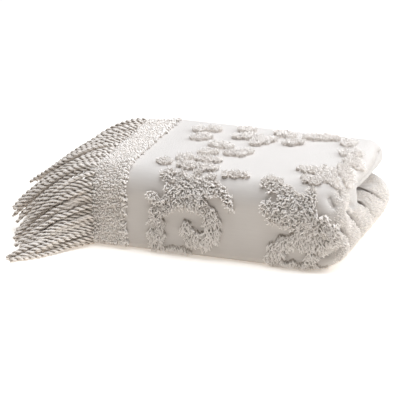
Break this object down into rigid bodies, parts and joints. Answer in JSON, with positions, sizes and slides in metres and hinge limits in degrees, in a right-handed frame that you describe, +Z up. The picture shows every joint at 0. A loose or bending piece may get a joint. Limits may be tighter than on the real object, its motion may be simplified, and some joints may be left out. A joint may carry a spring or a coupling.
{
  "type": "folded chenille throw",
  "caption": "Cotton throw folded into a bundle, with a raised tufted scroll-and-leaf relief, a dense tufted border and a twisted fringe along the short end that shows.",
  "frame": {"origin": "the middle of the folded cloth's underside, on the surface it lies on", "axes": "+X from the fringed end to the far fold, +Y from the front fold to the open back, +Z up"},
  "size_m": [0.5762, 0.3647, 0.136],
  "materials": {
    "cloth": "plain-woven warm ivory cotton with cut chenille tufts, matte",
    "fringe": "twisted two-ply warm ivory cotton cord, matte"
  },
  "bodies": {
    "root": {"throw_cloth": "cloth", "fringe": "fringe"}
  },
  "joints": []
}
